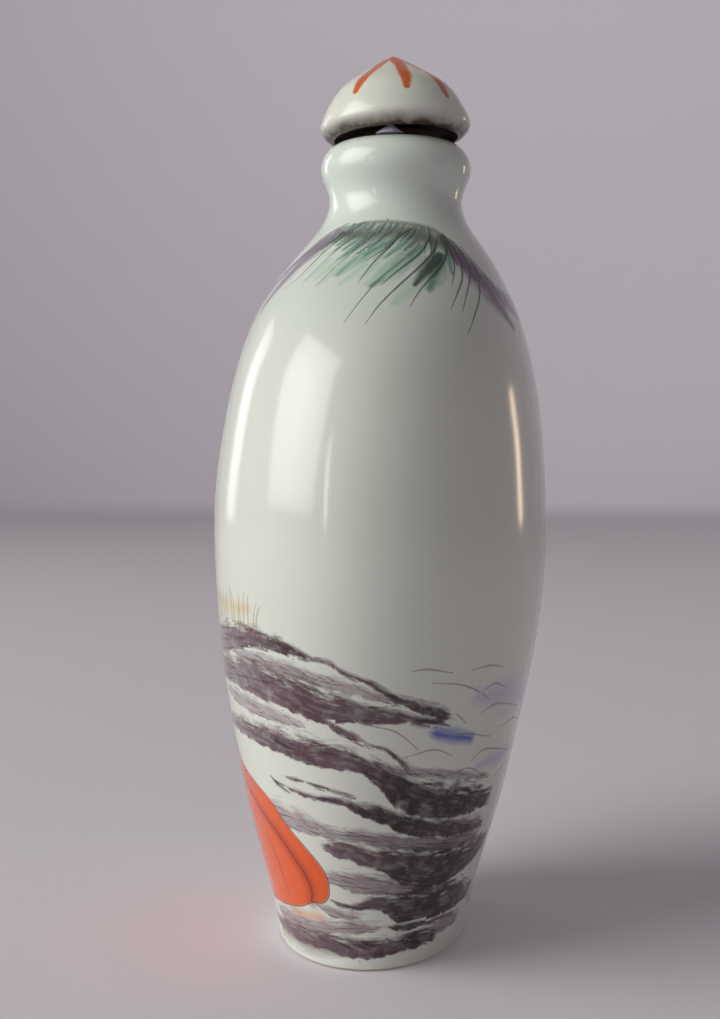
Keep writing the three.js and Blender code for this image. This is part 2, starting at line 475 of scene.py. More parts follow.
# The rocks, from the left face round the narrow edge to the right one: turn, height, half height, darkness.
rocks = {
    "ridge": [
        (-150, 22, 0.3, 0.4), (-120, 24.4, 0.9, 0.5), (-92, 25.6, 1.3, 0.6), (-66, 26.3, 1.5, 0.35),
        (-45, 27.3, 1.15, 0.6), (-34, 27.4, 0.95, 0.7), (-24, 27, 0.7, 0.8), (-18, 26.6, 0.45, 0.85),
        (-13, 26.3, 0.25, 0.5), (-8, 26.1, 0.28, 0.45), (-4, 25.5, 0.28, 0.5), (3, 24.8, 0.26, 0.7),
        (9, 24.1, 0.35, 0.75), (15, 23.2, 0.5, 0.75), (22, 22.6, 0.6, 0.8), (28, 22.1, 0.6, 0.85),
        (35, 21.4, 0.35, 0.8),
    ],
    "third": [
        (-78, 19, 0.4, 0.2), (-59, 19.5, 0.8, 0.4), (-40, 19.6, 1.1, 0.6), (-27, 19.3, 1.2, 0.75),
        (-17, 19, 1.35, 0.8), (-8, 18.8, 1.3, 0.75), (0, 18.5, 1.1, 0.7), (8, 17.7, 0.95, 0.85),
        (15, 16.6, 1.3, 0.9), (22, 15.5, 1.65, 1), (32, 14.8, 1.8, 1), (43, 14.3, 1.6, 1),
        (54, 13.8, 1.3, 1), (65, 13.4, 0.7, 0.9),
    ],
    "fifth": [
        (-16, 11.3, 0.2, 0.55), (-9, 11, 0.9, 0.7), (-1, 10.9, 1.15, 0.7), (9, 10.3, 1.2, 0.8),
        (19, 9.8, 1.6, 0.95), (28, 9.2, 2.1, 1), (38, 8.8, 2.2, 1), (50, 8.7, 1.95, 0.95),
        (64, 8.9, 1.4, 0.9), (76, 9.3, 0.6, 0.7),
    ],
    "foot": [
        (-150, 2.4, 0.3, 0.3), (-110, 2.4, 0.7, 0.5), (-70, 2.2, 0.5, 0.4), (-47, 2.3, 0.8, 0.6),
        (-28, 2.5, 1, 0.65), (-13, 2.4, 1.05, 0.7), (0, 2.1, 1.1, 0.75), (13, 2.1, 1, 0.8),
        (26, 2.4, 1, 0.95), (37, 2.4, 1, 0.95), (48, 2.1, 0.5, 0.85),
    ],
    "second": [
        (-135, 20, 0.4, 0.3), (-105, 22.6, 1.1, 0.45), (-78, 23.6, 1.3, 0.45), (-59, 24.1, 1.3, 0.45),
        (-46, 24.4, 1.7, 0.5), (-36, 24.2, 1.8, 0.6), (-25, 23.8, 1.7, 0.65), (-18, 23.4, 1.8, 0.8),
        (-12, 22.9, 1.7, 0.8), (-5, 22.6, 1.35, 0.75), (2, 22.3, 1, 0.75), (9, 22, 0.8, 0.75),
        (16, 21.8, 0.6, 0.8), (24, 21.4, 0.45, 0.85), (34, 21, 0.25, 0.8),
    ],
    "secondTail": [
        (-15, 22.6, 0.4, 0.8), (-10, 21.6, 0.42, 0.75), (-5, 20.9, 0.42, 0.6), (0, 20.4, 0.5, 0.45),
        (4, 19.8, 0.25, 0.6), (11, 19.3, 0.2, 0.6), (16, 18.5, 0.4, 0.8), (21, 17.4, 0.35, 0.85),
    ],
    "fourth": [
        (-36, 16.1, 0.12, 0.75), (-28, 15.6, 0.2, 0.7), (-19, 15.3, 0.35, 0.7), (-11, 15.1, 0.35, 0.8),
        (-4, 15, 0.4, 0.8), (2, 14.5, 0.6, 0.9), (9, 14.1, 0.8, 0.95), (16, 13.5, 0.9, 1),
        (24, 12.9, 1.1, 1), (34, 12.3, 1.05, 0.95), (47, 11.6, 0.7, 0.9), (64, 11, 0.4, 0.8),
    ],
    "fourthHair": [
        (-30, 16.5, 0.08, 0.7), (-18, 16.3, 0.13, 0.7), (-9, 16, 0.15, 0.75), (2, 15.4, 0.12, 0.7),
    ],
    "sixth": [
        (-12, 6.2, 0.1, 0.8), (-2, 5.8, 0.35, 0.65), (8, 6.1, 0.75, 0.7), (17, 6, 1.2, 0.9),
        (26, 5.7, 2.05, 1), (37, 5.6, 2, 1), (49, 5.5, 1.85, 0.95), (62, 5.1, 1.4, 0.85),
        (76, 4.6, 0.5, 0.6),
    ],
    "sixthLow": [(14, 3.9, 0.2, 0.8), (26, 3.7, 0.5, 0.95), (38, 3.6, 0.4, 0.9), (60, 3.4, 0.15, 0.6)],
}
# Thin grey washes lie between the dark bands, with the same columns.
rockWashes = [
    [(-64, 22.2, 0.5, 0.1), (-46, 21.9, 0.9, 0.15), (-30, 21.5, 0.7, 0.15), (-16, 20.8, 0.4, 0.1)],
    [(-52, 25.9, 0.4, 0.1), (-30, 25.5, 0.7, 0.2), (-12, 24.8, 0.7, 0.2), (4, 23.8, 0.5, 0.2),
     (16, 22.8, 0.3, 0.3)],
    [(-46, 12.9, 0.7, 0.05), (-34, 13.2, 1.3, 0.15), (-22, 12.9, 1.1, 0.2), (-10, 12.3, 0.7, 0.25),
     (2, 12.2, 0.4, 0.2)],
    [(-14, 12.4, 0.3, 0.3), (4, 12.1, 0.7, 0.4), (22, 11.4, 0.9, 0.55), (44, 10.6, 0.9, 0.6),
     (62, 10.2, 0.6, 0.5)],
    [(-16, 8.6, 0.4, 0.15), (-4, 8.2, 1.1, 0.3), (8, 7.9, 1.1, 0.35), (20, 7.6, 1, 0.5), (34, 7.2, 1, 0.7),
     (50, 7.2, 0.9, 0.6)],
    [(-58, 3.4, 0.4, 0.1), (-46, 3.5, 0.9, 0.2), (-30, 3.5, 1, 0.25), (-14, 3.7, 0.8, 0.25),
     (2, 4, 0.7, 0.3), (14, 4, 0.5, 0.4)],
    [(-26, 6.4, 0.3, 0.1), (-12, 5.2, 0.6, 0.2), (4, 4.9, 0.4, 0.25)],
    [(8, 17.9, 0.3, 0.2), (24, 17.3, 0.5, 0.2), (44, 16.2, 0.5, 0.2), (60, 15.4, 0.3, 0.2)],
    [(20, 12.7, 0.4, 0.4), (40, 12.2, 0.8, 0.4), (62, 11.6, 0.5, 0.3)],
    [(40, 3, 0.5, 0.2), (52, 2.9, 0.9, 0.3), (66, 2.9, 0.7, 0.25)],
    [(84, 29.3, 0.3, 0), (98, 30.6, 1.2, 0.08), (112, 30, 0.8, 0.05), (130, 31.4, 1.9, 0.1),
     (150, 30, 0.9, 0.05), (168, 29.3, 0.3, 0)],
    [(76, 3.4, 0.6, 0.3), (100, 3, 1.1, 0.4), (128, 2.8, 0.9, 0.3), (160, 2.8, 0.5, 0.2)],
]
# These bands lie over the others.
nearBands = ("second", "secondTail", "fourth", "fourthHair", "sixth", "sixthLow")


# Loaded strokes laid along each band, some dark and some where the bare glaze shows between the bristles.
def rockStreaks(draw):
    for rows in rockWashes + list(rocks.values()):
        thin = 0.5 if rows in rockWashes else 1
        last = len(rows) - 1
        length = abs(rows[-1][0] - rows[0][0]) * 0.27
        for _ in range(int(length * 1.1)):
            part = draw.uniform(0, 0.95)
            span = min(draw.uniform(1.5, 4.5) / length, 1 - part)
            turn, height, half, dark = between(rows, part * last)
            light = draw.random() < 0.12
            off = (draw.uniform(-0.1, 0.7) if light else draw.uniform(-0.85, 0.6)) * half
            points = []
            for k in range(4):
                turn, height, _, _ = between(rows, (part + span * k / 3) * last)
                points.append((turn, height + off + draw.uniform(-0.08, 0.08) - 0.12 * k * (off > 0)))
            wide = draw.uniform(0.1, 0.2) if light else draw.uniform(0.16, 0.38) * (0.5 + 0.6 * dark) * thin
            ink = "wetGrey" if light else ("black" if draw.random() < 0.6 * dark else "umber")
            yield strokeOn(points, [wide * 0.4, wide, wide * 0.8, wide * 0.3], ink)
            if draw.random() < 0.28:  # a drop that stood at the lower edge of the wash
                spot = (turn, height - half * 1.02 + draw.uniform(-0.1, 0.15))
                yield strokeOn([spot, (spot[0] + 0.5, spot[1])], [0.08, 0.07], "black")


# The lower edge of the bare neck, where the pines begin: turn and height.
crownEdge = [(-190, 54.5), (-150, 55.2), (-110, 54.6), (-80, 54.8), (-66, 55.8), (-57, 57.5), (-46, 59.2),
             (-33, 60), (-10, 60.3), (10, 60.2), (25, 59.9), (35, 59.4), (46, 57.9), (58, 56.1), (72, 54.8),
             (110, 54.6), (150, 55.2), (190, 54.5)]


# A pine stroke from the crown. It sweeps down to the left, or curls right where it is beyond leanFrom.
def pineSweep(turn, down, reach, swing=1.0, leanFrom=24):
    top = along(crownEdge, 1, turn) - down
    lean = (-5.5 if turn < leanFrom else (turn - leanFrom - 10) * 0.12) * reach * swing
    return [(turn, top), (turn + lean * 0.4, top - reach * 0.5), (turn + lean, top - reach)]


# Turns spread evenly from -reach to reach, each a little off its place.
def turnsAround(draw, count, reach):
    for i in range(count):
        yield -reach + 2 * reach * i / (count - 1) + draw.uniform(-1.5, 1.5)


# Soft washes: the middle line of each patch, its half widths and its colour.
def washStrokes(draw):
    patches = [
        ([(29, 20.3), (36, 19.8), (44, 19.3)], [0.8, 1, 0.7], "cobalt"),
        ([(-36, 4.2), (-20, 4.3)], [0.9, 0.9], "peach"),
        ([(-56, 1.6), (-30, 1.5), (-10, 1.7)], [0.9, 1.1, 0.8], "olive"),
        # The two lilac washes on the right of the water are painted reflection: a purple tint of the
        # surroundings on the slanting side.
        ([(44, 22.6), (60, 22.2), (80, 20.8)], [0.9, 2.2, 1.6], "lilac"),
        ([(50, 16.6), (66, 16.8), (84, 16.4)], [0.5, 1.2, 0.8], "lilac"),
        ([(-100, 29.2), (-80, 29.4), (-60, 29.4), (-38, 29.4)], [1.1, 1.2, 1.2, 0.6], "straw"),
        ([(22, 57.8), (13, 56.5), (6, 55.2), (0, 54.2)], [1, 1.3, 1.1, 0.4], "jade"),
        ([(2, 58), (-9, 56.7), (-17, 55.3)], [0.8, 1, 0.4], "jade"),
        ([(34, 57), (28, 55.6), (24, 54)], [1, 1.2, 0.5], "jade"),
    ]
    for patch in patches:
        yield strokeOn(*patch)
    for turn in turnsAround(draw, 30, 78):  # the pines' own washes, in the way of their needles
        # Beyond about 35 degrees either side of the narrow edge the washes are plum and mauve: painted
        # reflection of purple surroundings on the slanting sides.
        ink = "plumWash" if turn > 37 else "mauve" if turn < -34 else "jade"
        reach = draw.uniform(2.2, 3.8) if -6 < turn < 36 else draw.uniform(1.4, 2.4)
        yield strokeOn(pineSweep(turn, 0.5, reach), [0.55, 0.8, 0.35], ink)


# The mass of the pines, under their strokes.
def shadeStrokes():
    crown = [(-35, 59.3), (-16, 58.9), (0, 59), (15, 59), (28, 58.5), (38, 57.9)]
    yield strokeOn(crown, [0.3, 0.8, 1, 1.1, 1.2, 1], "crown")
    yield strokeOn([(32, 57.1), (28, 56.4), (23, 55.5), (18, 54.3)], [0.5, 1.05, 1, 0.25], "greenBlack")
    # The plum bough on the right and the mauve one below it on the left are painted reflection of purple
    # surroundings on the slanting sides.
    rightBough = [(37, 58.5), (44, 57), (52, 55.3), (60, 53.5), (68, 51.6)]
    yield strokeOn(rightBough, [0.9, 1.6, 2, 1.8, 0.7], "plumWash")
    yield strokeOn([(-34, 59.4), (-44, 57.8), (-52, 55.7), (-60, 53)], [0.5, 1.1, 1.2, 0.5], "mauve")


# The long needles of the pines, which sweep down to the left or curl to the right. Those in pinePlum near the
# sides are painted reflection of purple surroundings.
needles = [
    ([(10, 59.05), (5, 57.75), (-2, 56.15), (-6, 54.45)], "pine"),
    ([(24, 58.85), (17, 57.25), (4, 55.05), (-3, 53.05), (-8, 51.15)], "pineGrey"),
    ([(32, 58.45), (29, 57.45), (14, 54.75), (5, 52.75), (0, 51.05)], "pine"),
    ([(28, 58.65), (21, 57.15), (10, 55.45), (4, 54.25)], "pine"),
    ([(38, 58.25), (35, 56.85), (27, 55.25), (21, 54.05), (16, 52.45)], "pine"),
    ([(37, 58.85), (39, 57.75), (39, 56.25), (35, 54.45)], "pine"),
    ([(38, 59.05), (43, 57.05), (42, 55.35), (37, 53.75), (33, 52.45)], "pine"),
    ([(42, 58.65), (49, 56.75), (47, 55.45), (42, 53.85), (38, 52.25)], "pine"),
    ([(44, 58.45), (52, 56.25), (50, 54.15), (44, 52.15), (39, 50.45)], "pine"),
    ([(48, 58.05), (57, 55.85), (59, 54.25), (62, 53.05)], "pinePlum"),
    ([(-2, 59.65), (-9, 58.75), (-15, 57.25), (-20, 56.15)], "pineGrey"),
    ([(8, 59.65), (-1, 58.85), (-12, 57.75), (-20, 56.05), (-26, 54.35)], "pineGrey"),
    ([(-16, 60.05), (-25, 59.15), (-34, 57.55), (-40, 55.45), (-48, 54.45)], "pinePlum"),
    ([(-8, 59.85), (-16, 59.05), (-26, 57.45), (-35, 54.85)], "pineGrey"),
    ([(18, 59.45), (11, 58.85), (2, 57.45), (-6, 56.45)], "pine"),
    ([(-30, 60.05), (-46, 59.05), (-58, 57.05), (-70, 54.45)], "pinePlum"),
]


def needleStrokes(draw):
    for points, ink in needles:
        yield strokeOn(points, [0.1, 0.16, 0.11, 0.04], ink)
    for side in (-1, 1):  # the broad faces have sparser needles, which all lean to the left
        for _ in range(14):
            turn = side * draw.uniform(70, 160)
            points = pineSweep(turn, 0.3, draw.uniform(2.5, 5.5), draw.uniform(-0.3, 0.4), 999)
            yield strokeOn(points, [0.1, 0.1, 0.04], draw.choice(["pine", "pineGrey", "pinePlum"]))


# Broad soft strokes of the crown, under the needles.
def crownStrokes(draw):
    edge = [(turn, height - 0.3) for turn, height in crownEdge if -40 < turn < 50]
    yield strokeOn(edge, [0.15, 0.35, 0.45, 0.5, 0.4], "crown")
    for turn in turnsAround(draw, 110, 170):
        ink = draw.choice(["crown", "crown", "crown", "crown", "jade", "pine", "greenBlack"])
        # Between 38 and 90 degrees from the narrow edge the strokes are plum on the right and mauve on the
        # left: painted reflection of purple surroundings, which the back faces don't get.
        if 38 < abs(turn - 3) < 90:
            ink = "plumWash" if turn > 0 else "mauve"
        points = pineSweep(turn, draw.uniform(0.15, 1), draw.uniform(0.9, 2.2), draw.uniform(0.8, 1.1))
        yield strokeOn(points, [0.26, 0.42, 0.12], ink)
    # This bough is mauve as painted reflection of purple surroundings.
    for i in range(5):  # the shaded bough on the left
        points = [(-31 - i, 59.3 - 0.42 * i), (-47, 58.4 - 0.5 * i), (-58, 56.8 - 0.6 * i),
                  (-70, 54.8 - 0.7 * i)]
        yield strokeOn(points, [0.2, 0.22, 0.2, 0.05], "mauve")


# The finest strokes of the crown.
def hairStrokes(draw):
    for turn in turnsAround(draw, 110, 170):
        # Beyond 36 degrees either side of the narrow edge the hairs are plum, which on the sides stands for
        # painted reflection of purple surroundings.
        ink = "pinePlum" if abs(turn - 3) > 36 else draw.choice(["pine", "pineGrey", "greenBlack"])
        points = pineSweep(turn, draw.uniform(0.1, 1.3), draw.uniform(1, 2.6), draw.uniform(0.7, 1.1))
        yield strokeOn(points, [0.05, 0.13, 0.05], ink)


# Dry grass along the top of the rocks on the left face.
def grassStrokes(draw):
    for i in range(34):
        turn = -108 + 74 * i / 33 + draw.uniform(-0.8, 0.8)
        if -105 < turn < -89:  # the head is there
            continue
        foot = 27.9 + draw.uniform(-0.3, 0.4)
        reach = draw.uniform(1.8, 3)
        bend = draw.uniform(-2, 2)
        points = [(turn, foot), (turn + bend * 0.3, foot + reach * 0.6), (turn + bend, foot + reach)]
        yield strokeOn(points, [0.17, 0.15, 0.06], "grass")


# Ripples and waves: those on the right are placed, and those on the back are scattered.
def waterStrokes(draw):
    lines = [
        [(19, 25.3), (24, 25.4), (33, 24.9)], [(40, 24.9), (48, 25), (55, 24.6)],
        [(26, 24.3), (36, 23.9), (44, 23.1), (50, 22.2)], [(46, 23), (52, 23.4), (59, 22.7)],
        [(47, 21.2), (55, 21.6), (72, 20.6)], [(36, 21.6), (41, 20.6)], [(6, 21.2), (15, 20.6), (24, 18.9)],
        [(18, 18.5), (29, 18.9), (37, 18.1)], [(46, 17.3), (54, 17.9), (78, 16.4)],
        [(30, 19.9), (42, 19.7), (55, 18.9)], [(36, 16.6), (46, 16.7), (55, 15.6)],
        [(60, 19.4), (70, 19.6), (82, 18.8)], [(64, 15), (74, 15.6), (84, 15.2)],
    ]
    for _ in range(26):
        turn, height = draw.uniform(78, 172), draw.uniform(10, 26)
        wave = draw.uniform(6, 14)
        lines.append([(turn, height), (turn + wave * 0.4, height + 0.35), (turn + wave, height - 0.25)])
    return [strokeOn(line, [0.06, 0.13, 0.06], "water") for line in lines]


# A seated figure in an orange robe, seen from behind on the left face. Its robe comes round to the edge.
robe = {
    "outline": [
        (-61.8, 16.1), (-40, 14.2), (-30.8, 12.3), (-24.2, 11.1), (-16, 9.4), (-12.4, 8), (-12.6, 6.6),
        (-16.2, 5.8), (-22, 5.7), (-31.8, 4.9), (-50, 4.3), (-72, 3.8), (-96, 4), (-114, 5.4), (-121, 9),
        (-117, 14.5), (-112, 19.6), (-106, 22.8), (-96, 24.2), (-86, 23.2), (-78, 20),
    ],
    "folds": [
        [(-71, 16.2), (-60, 14.4), (-49, 12.9), (-39, 11.5), (-30.8, 9.8), (-24.5, 8.2), (-21.8, 6.8),
         (-23, 5.6)],
        [(-108, 21), (-110, 15), (-102, 9.5), (-88, 6.4)], [(-90, 22.6), (-88, 16), (-80, 10), (-72, 5.4)],
        [(-100, 23.2), (-98, 17), (-90, 12), (-76, 8)],
    ],
    "hem": [(-119.4, 9.6), (-112.6, 6.8), (-96, 5.3), (-78, 5)],
    "creases": [
        [(-110, 21), (-102, 22.6), (-97, 21.6), (-90, 22.9)],
        [(-108, 22), (-99, 20.6), (-92, 21.8), (-86, 22.6)],
        [(-119, 13.5), (-112, 11.6), (-104, 12.4), (-99, 15)], [(-120, 9.4), (-112, 8.4), (-104, 9.6)],
        [(-66, 14), (-60, 10), (-52, 6.4)], [(-48, 12), (-42, 8.6), (-38, 5.6)],
        [(-82, 15), (-74, 11), (-66, 8)],
    ],
    "hair": [
        [(-91, 25.6), (-94, 24.8), (-98, 24.6), (-102, 25.4)], [(-91.4, 26.3), (-93.5, 25.6), (-96.5, 25.3)],
        [(-103, 26.4), (-101.5, 25.8), (-99, 25.4)], [(-92.4, 27.6), (-91.2, 27.2), (-92.2, 26.4)],
    ],
    "head": [
        (-90.5, 27), (-92.5, 29.2), (-97, 30), (-101.5, 29.2), (-103.5, 27), (-102, 24.9), (-97, 23.8),
        (-92, 24.9),
    ],
}


# Soft shades with no hard edge: the robe's hollows and the pines' pale tips.
def softShades(draw):
    for fold in robe["folds"]:
        yield strokeOn(fold, [0.4, 1.1, 0.7], "robeShade")
    yield strokeOn(robe["hem"], [0.5, 1.1, 0.2], "robeShade")
    yield strokeOn([(22, 55.2), (16, 53.9), (10, 52.7)], [0.8, 1.2, 0.5], "mint")
    for i in range(8):
        turn = -26 + 40 * i / 7
        points = pineSweep(turn, 3.4, draw.uniform(1.6, 2.6), 0.8)
        yield strokeOn(points, [0.3, 0.7, 0.4], "mint")


def robeLines():
    for lines, widths, ink in (
        (robe["folds"], [0.07, 0.11, 0.09], "robeEdge"),
        (robe["creases"], [0.05, 0.1, 0.04], "robeEdge"),
        (robe["hair"], [0.08, 0.2, 0.06], "black"),
        ([robe[name] + robe[name][:1] for name in ("outline", "head")], [0.08, 0.09, 0.08], "robeEdge"),
    ):
        for line in lines:
            yield strokeOn(line, widths, ink)


# The faces that the painting can lie on: outside, up to the neck.
def bodyOutside(centre, normal):
    axis, top = 0.5, 62  # mm
    outward = centre[:, 0] * normal[:, 0] + (centre[:, 1] - axis) * normal[:, 1]
    return (outward > 0) & (centre[:, 2] < top)


draw = random.Random(7)
for layer, strokes in (
    ("wash", [*washStrokes(draw)]),
    ("rockWash", [bandOn(rows) for rows in rockWashes]),
    ("farRock", [bandOn(rows) for band, rows in rocks.items() if band not in nearBands]),
    ("nearRock", [bandOn(rocks[band]) for band in nearBands]),
    ("streak", [*rockStreaks(draw)]),
    ("robe", [fillOn(robe["outline"], "robe"), fillOn(robe["head"], "skin")]),
    ("softShade", [*softShades(draw)]),
    ("shade", [*shadeStrokes()]),
    ("crown", [*crownStrokes(draw), *grassStrokes(draw)]),
    ("hair", [*hairStrokes(draw), *waterStrokes(draw)]),
    ("needle", [*needleStrokes(draw), *robeLines()]),
):
    paintLayer(bottlePiece, layer, strokes, bodyOutside)
print("bottle painted")


# The stopper's strokes run down from its tip like petals, all round.
petals = {
    "turns": (17, 54, 98, 142, 188, 241, 288, 331),  # degrees
    "ends": (0.43, 0.36, 0.44, 0.4, 0.35, 0.42, 0.38, 0.43),  # of the dome's height
    "from": 0.985,
    "halfWidths": (0.85, 0.75, 0.68, 0.66, 0.36),
}


def stopperStrokes():
    def onDome(turn, rise):
        radius = along(stopper["outline"], 1, rise)
        angle = math.radians(turn)
        return (radius * math.cos(angle), radius * math.sin(angle), rise * stopper["height"])

    for turn, end in zip(petals["turns"], petals["ends"]):
        top = petals["from"]
        middle = (top + end) / 2
        points = [(turn - 9, top), (turn + 1, middle + 0.12), (turn, middle - 0.05), (turn - 1, end)]
        yield strokeOn(points, petals["halfWidths"], "petal", pointAt=onDome)


paintLayer(stopperPiece, "petal", stopperStrokes(), lambda centre, normal: normal[:, 2] > 0)
print("stopper painted")


# An output of a material's node. Reckoning with it adds further nodes.
class Value:
    def __init__(self, made, output=0):
        self.tree = made.id_data
        self.socket = made.outputs[output]

    def maths(self, operation, other=0.0):
        return Value(node(self.tree, "Math", {"operation": operation}, in0=self, in1=other))

    def __add__(self, other):
        return self.maths("ADD", other)

    def __sub__(self, other):
        return self.maths("SUBTRACT", other)

    def __mul__(self, other):
        return self.maths("MULTIPLY", other)

    def __truediv__(self, other):
        return self.maths("DIVIDE", other)

    def clamped(self):
        return Value(node(self.tree, "Clamp", Value=self, Min=0.0, Max=1.0))


# Sets a node's inputs. in0 is the first of them, and _ stands for a space.
def feed(made, **inputs):
    for key, value in inputs.items():
        socket = made.inputs[int(key[2:]) if key[2:].isdigit() else key.replace("_", " ")]
        if isinstance(value, Value):
            made.id_data.links.new(value.socket, socket)
        else:
            socket.default_value = linear(value) if isinstance(value, str) else value


def node(tree, kind, settings=None, **inputs):
    made = tree.nodes.new("ShaderNode" + kind)
    for key, value in (settings or {}).items():
        setattr(made, key, value)
    feed(made, **inputs)
    return made


def newMaterial(name):
    material = bpy.data.materials.new(name)
    material.use_nodes = True
    return material, material.node_tree, material.node_tree.nodes["Principled BSDF"]


# Goes from atLow to atHigh while the value goes from low to high.
def ramp(value, low, high, atLow, atHigh):
    span = {"From_Min": low, "From_Max": high, "To_Min": atLow, "To_Max": atHigh}
    return Value(node(value.tree, "MapRange", Value=value, **span))


def mixColour(factor, a, b):
    return Value(node(factor.tree, "Mix", {"data_type": "RGBA"}, in0=factor, in6=a, in7=b), 2)


# Noise over the surface, with cells of so many mm.
def surfaceNoise(here, size, detail):
    return Value(node(here.tree, "TexNoise", Vector=here, Scale=1 / (size * mm), Detail=detail))


# What a layer's attributes hold: the side, the way along, the ends, half width and colour.
def layerOf(tree, layer):
    place = Value(node(tree, "Attribute", {"attribute_name": layer + "Place"}), "Vector")
    parts = node(tree, "SeparateXYZ", Vector=place)
    ink = node(tree, "Attribute", {"attribute_name": layer + "Ink"})
    return Value(parts, 0), Value(parts, 1), Value(parts, 2), Value(ink, "Alpha"), Value(ink, "Color")


# Noise drawn out along the stroke. Its grains are across mm wide and stretch times as long.
def bristleNoise(side, gone, across, stretch):
    at = Value(node(side.tree, "CombineXYZ", X=gone * (1 / (across * stretch)), Y=side * (1 / across)))
    return Value(node(side.tree, "TexNoise", Vector=at, Scale=1.0, Detail=3.0, Roughness=0.6)) - 0.5


bristleStretch = 8  # how many times longer than wide a bristle mark is


# A stroke of enamel: bristle is the width of its streaks in mm, dry is how much they break it, edge how
# sharp its side is, and cover how much it hides.
def brushed(layer, under, bristle, dry, edge, cover):
    tree = under.tree
    side, gone, ends, half, ink = layerOf(tree, layer)
    away = Value(node(tree, "CombineXYZ", X=side, Y=ends.maths("MINIMUM", 0.0)))
    distance = Value(node(tree, "VectorMath", {"operation": "LENGTH"}, in0=away), "Value")
    broken = bristleNoise(side, gone, bristle, bristleStretch) * dry
    laid = (((half - distance) / half + broken) * edge).clamped()
    return mixColour(laid * cover, under, ink)


wetWash = {
    "streak": 0.4,  # mm wide
    "streakStretch": 4.5,
    "scallop": 0.8,  # mm that the blotches move the lower edge
    "crispness": 5.5,  # of the lower edge
    "ragged": 2.2,  # how far the streaks break the upper edge, in half heights
    "fade": 0.6,  # over which the upper edge thins out, in half heights
    "leastFade": 0.12,  # mm
    "endFade": 1.2, "endRagged": 3.0,
    "streakTone": 1.5, "blotchTone": 1.4, "evenTone": 0.9, "leastTone": 0.58,
}


# A wide wet stroke, as on the rocks: it dried with a crisp scalloped lower edge, thins out above and is
# darker where the colour settled. blotch is a noise over the surface, and cover how much the wash hides.
def washedBand(layer, under, blotch, cover):
    w = wetWash
    side, gone, ends, half, ink = layerOf(under.tree, layer)
    streaks = bristleNoise(side, gone, w["streak"], w["streakStretch"])
    below = ((half + side + blotch * w["scallop"]) * w["crispness"]).clamped()
    fade = half * w["fade"] + w["leastFade"]
    above = ((half - side + streaks * half * w["ragged"]) / fade).clamped()
    end = (ends * w["endFade"] + streaks * w["endRagged"]).clamped()
    settled = streaks * w["streakTone"] + blotch * w["blotchTone"] + w["evenTone"]
    tone = settled.clamped() * (1 - w["leastTone"]) + w["leastTone"]
    return mixColour(below * above * end * tone * cover, under, ink)


# The painting's layers from the first. A brushed layer has its bristle, dryness, edge and cover, and a
# washed one has its cover.
layers = {
    "wash": (0.5, 1.2, 1.0, 0.88),
    "rockWash": (0.95,),
    "farRock": (1.0,),
    "nearRock": (1.0,),
    "streak": (0.16, 1.1, 1.1, 0.75),
    "robe": (0.5, 0.1, 9.0, 1.0),
    "softShade": (0.4, 0.3, 0.9, 0.85),
    "shade": (0.35, 1.1, 1.3, 0.85),
    "crown": (0.25, 1.1, 1.1, 0.7),
    "hair": (0.2, 0.7, 1.3, 0.7),
    "needle": (0.2, 0.5, 1.4, 0.85),
}
petalBrush = (0.35, 1.0, 2.2, 0.95)

# Fired porcelain under a clear, faintly green glaze: glassy, with tiny iron specks and a soft waviness.
glaze = {
    "pale": "#e4e7dd", "deep": "#d9dfd3",
    "tintSize": 16.667,  # mm
    "pooled": "#dbe6dc",  # where the glaze lies thicker, on the neck and shoulder
    "pooledFrom": 48,  # mm
    "pooledTo": 62,
    "pooledTint": 0.7,
    "unglazed": "#d8cdbd", "speck": "#4c4038",
    "speckSpacing": 10,  # mm
    "speckSize": 0.13,  # mm
    "speckTint": 0.75,
    "blotchSize": 0.9091,  # mm
    "footEdge": 0.2,  # mm of bare foot ring
    "roughness": 0.13, "refraction": 1.52,
    "waves": 9,  # mm from crest to crest
    "waveDepth": 0.5,  # mm
    "waveStrength": 0.12,
}


def makeGlaze():
    g = glaze
    material, tree, shader = newMaterial("glazedPorcelain")
    here = Value(node(tree, "TexCoord"), "Object")
    height = Value(node(tree, "SeparateXYZ", Vector=here), 2)
    colour = mixColour(surfaceNoise(here, g["tintSize"], 2.0), g["deep"], g["pale"])
    pooled = ramp(height, g["pooledFrom"] * mm, g["pooledTo"] * mm, 0.0, g["pooledTint"])
    colour = mixColour(pooled, colour, g["pooled"])
    specks = Value(node(tree, "TexVoronoi", Vector=here, Scale=1 / (g["speckSpacing"] * mm)), "Distance")
    size = g["speckSize"] / g["speckSpacing"]
    colour = mixColour(ramp(specks, size * 0.6, size, g["speckTint"], 0.0), colour, g["speck"])
    blotch = surfaceNoise(here, g["blotchSize"], 2.0) - 0.5
    for layer, laid in layers.items():
        if len(laid) == 1:
            colour = washedBand(layer, colour, blotch, *laid)
        else:
            colour = brushed(layer, colour, *laid)
    colour = mixColour(height.maths("LESS_THAN", g["footEdge"] * mm), colour, g["unglazed"])
    waves = surfaceNoise(here, g["waves"], 1.0)
    bump = node(tree, "Bump", Height=waves, Strength=g["waveStrength"], Distance=g["waveDepth"] * mm)
    feed(shader, Base_Color=colour, Roughness=g["roughness"], IOR=g["refraction"], Normal=Value(bump))
    return material


# Cream glazed porcelain like the bottle's, brown with old glue along its lower edge, and an unglazed dish
# underneath, coloured dark as painted shade for the gap. Heights are in mm above the lower edge.
stopperGlaze = {
    "cream": "#e3e6d9", "stain": "#4d3626",
    "stainFrom": 0.05, "stainTo": 1.5, "stainFall": 2.2, "stainTint": 1.1, "stainGrain": 1.6,
    "grainSize": 1.1111,  # mm
    # Painted shade: the dish under the stopper is coloured dark brown for the shadow in the gap.
    "dish": "#33261d",
    "dishMargin": (0.05, 0.2),  # mm, past its radius and its depth
    "roughness": 0.15, "dishRoughness": 0.85, "refraction": 1.52,
}


